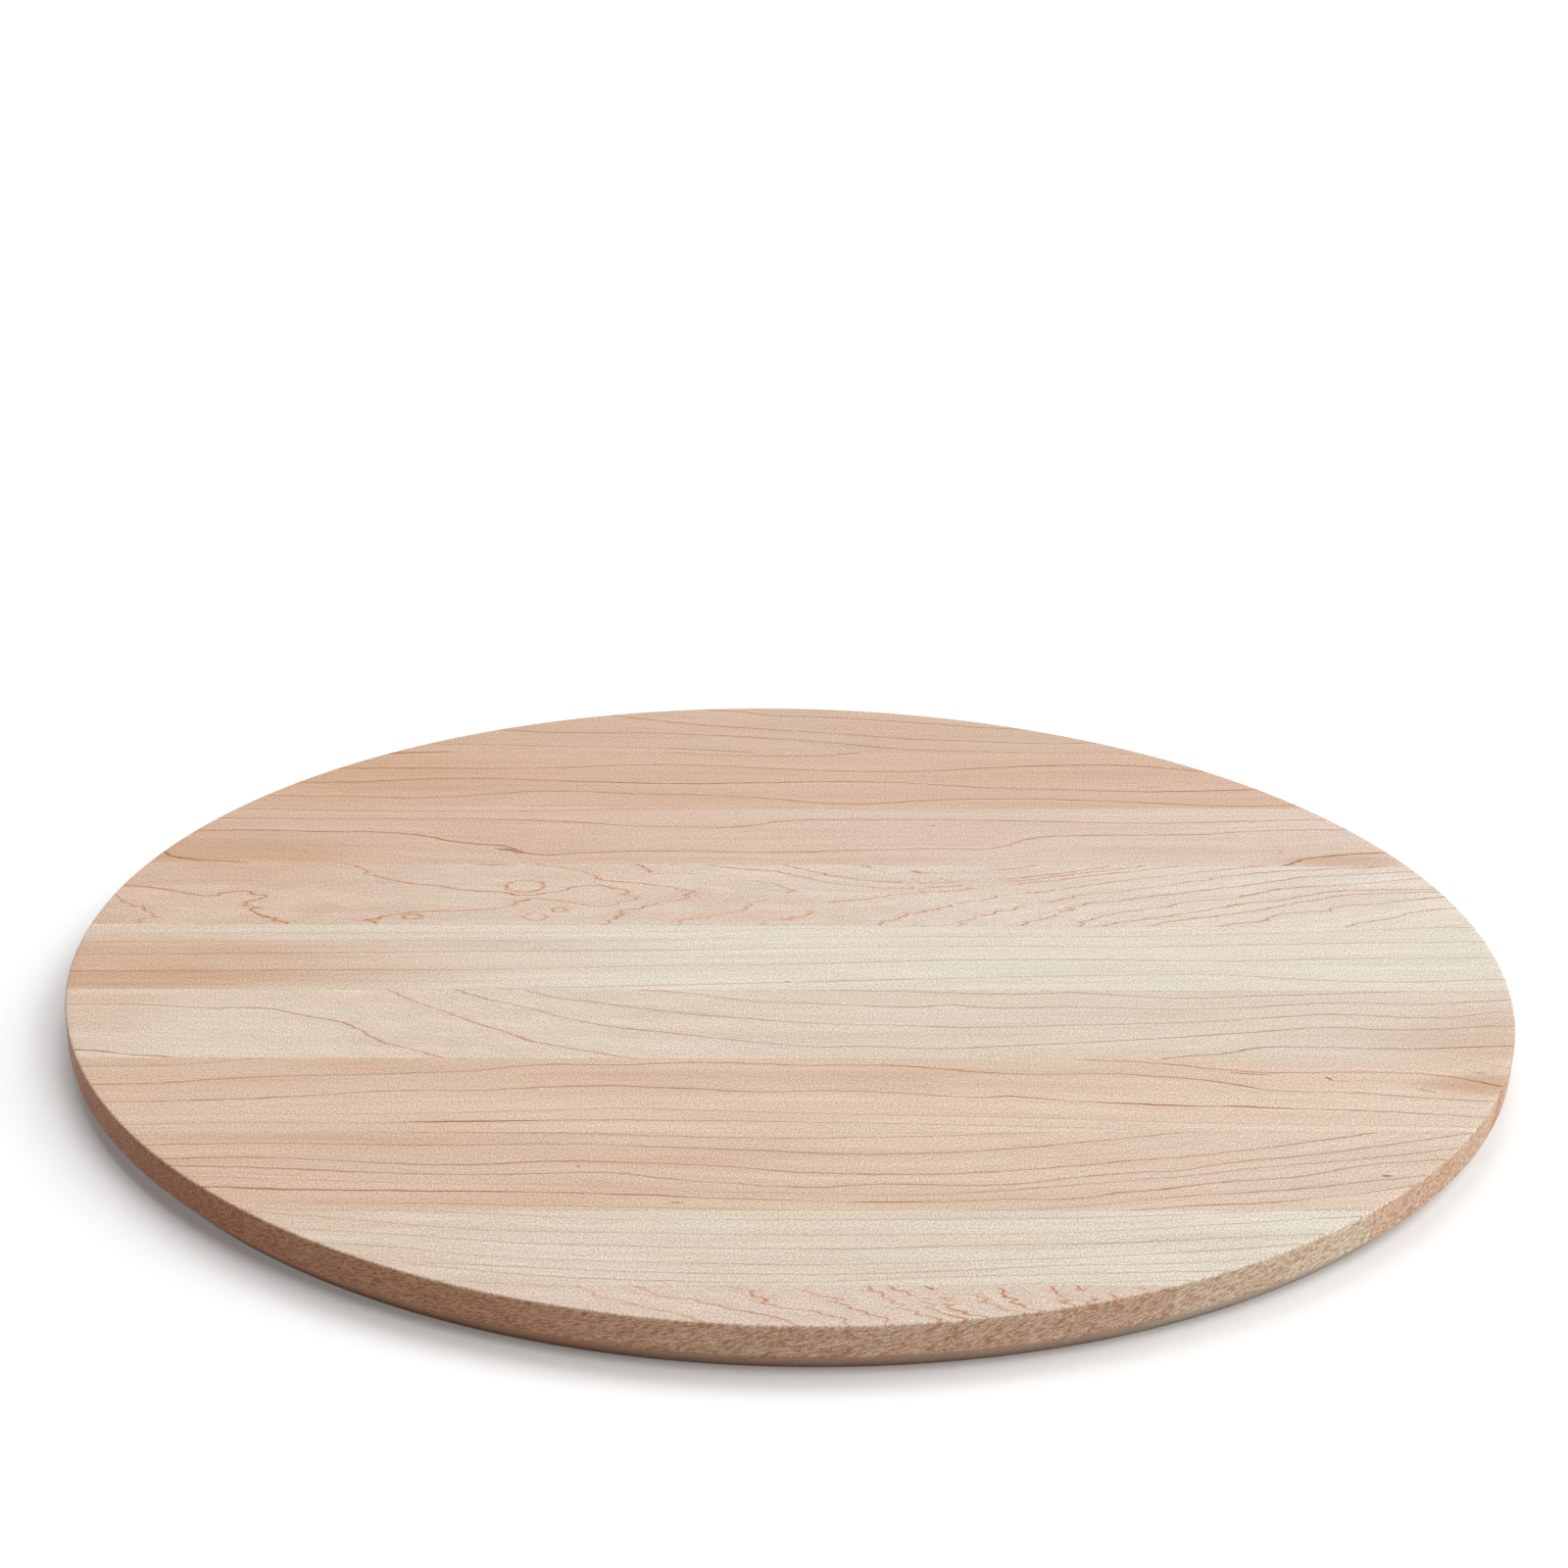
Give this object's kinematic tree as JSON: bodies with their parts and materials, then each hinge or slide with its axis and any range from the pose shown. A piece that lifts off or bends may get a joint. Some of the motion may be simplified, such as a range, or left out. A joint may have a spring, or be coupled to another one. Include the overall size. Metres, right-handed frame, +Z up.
{
  "type": "serving platter",
  "caption": "Round flat serving platter of edge-glued maple staves, with an upright rim that is chamfered underneath so that fingers can lift it.",
  "frame": {"origin": "centre of the flat underside, on the surface that the platter rests on", "axes": "+X along the grain of the staves, +Y across the staves towards the back of the board, +Z up out of the serving face"},
  "size_m": [0.48, 0.48, 0.018],
  "materials": {
    "maple_tan": "sanded and thinly oiled, satin",
    "maple_rose": "sanded and thinly oiled, satin",
    "maple_pale": "sanded and thinly oiled, satin",
    "maple_cream": "sanded and thinly oiled, satin",
    "wood_glue": "cured wood glue, sanded flush"
  },
  "bodies": {
    "root": {"back_stave": "maple_tan", "stave_1": "maple_tan", "stave_2": "maple_rose", "stave_3": "maple_pale", "stave_4": "maple_cream", "stave_5": "maple_pale", "stave_6": "maple_rose", "stave_7": "maple_tan", "ripped_stave": "maple_cream", "front_stave": "maple_pale", "back_glue_line": "wood_glue", "glue_line_1": "wood_glue", "glue_line_2": "wood_glue", "glue_line_3": "wood_glue", "glue_line_4": "wood_glue", "glue_line_5": "wood_glue", "glue_line_6": "wood_glue", "glue_line_7": "wood_glue", "front_glue_line": "wood_glue"}
  },
  "joints": []
}
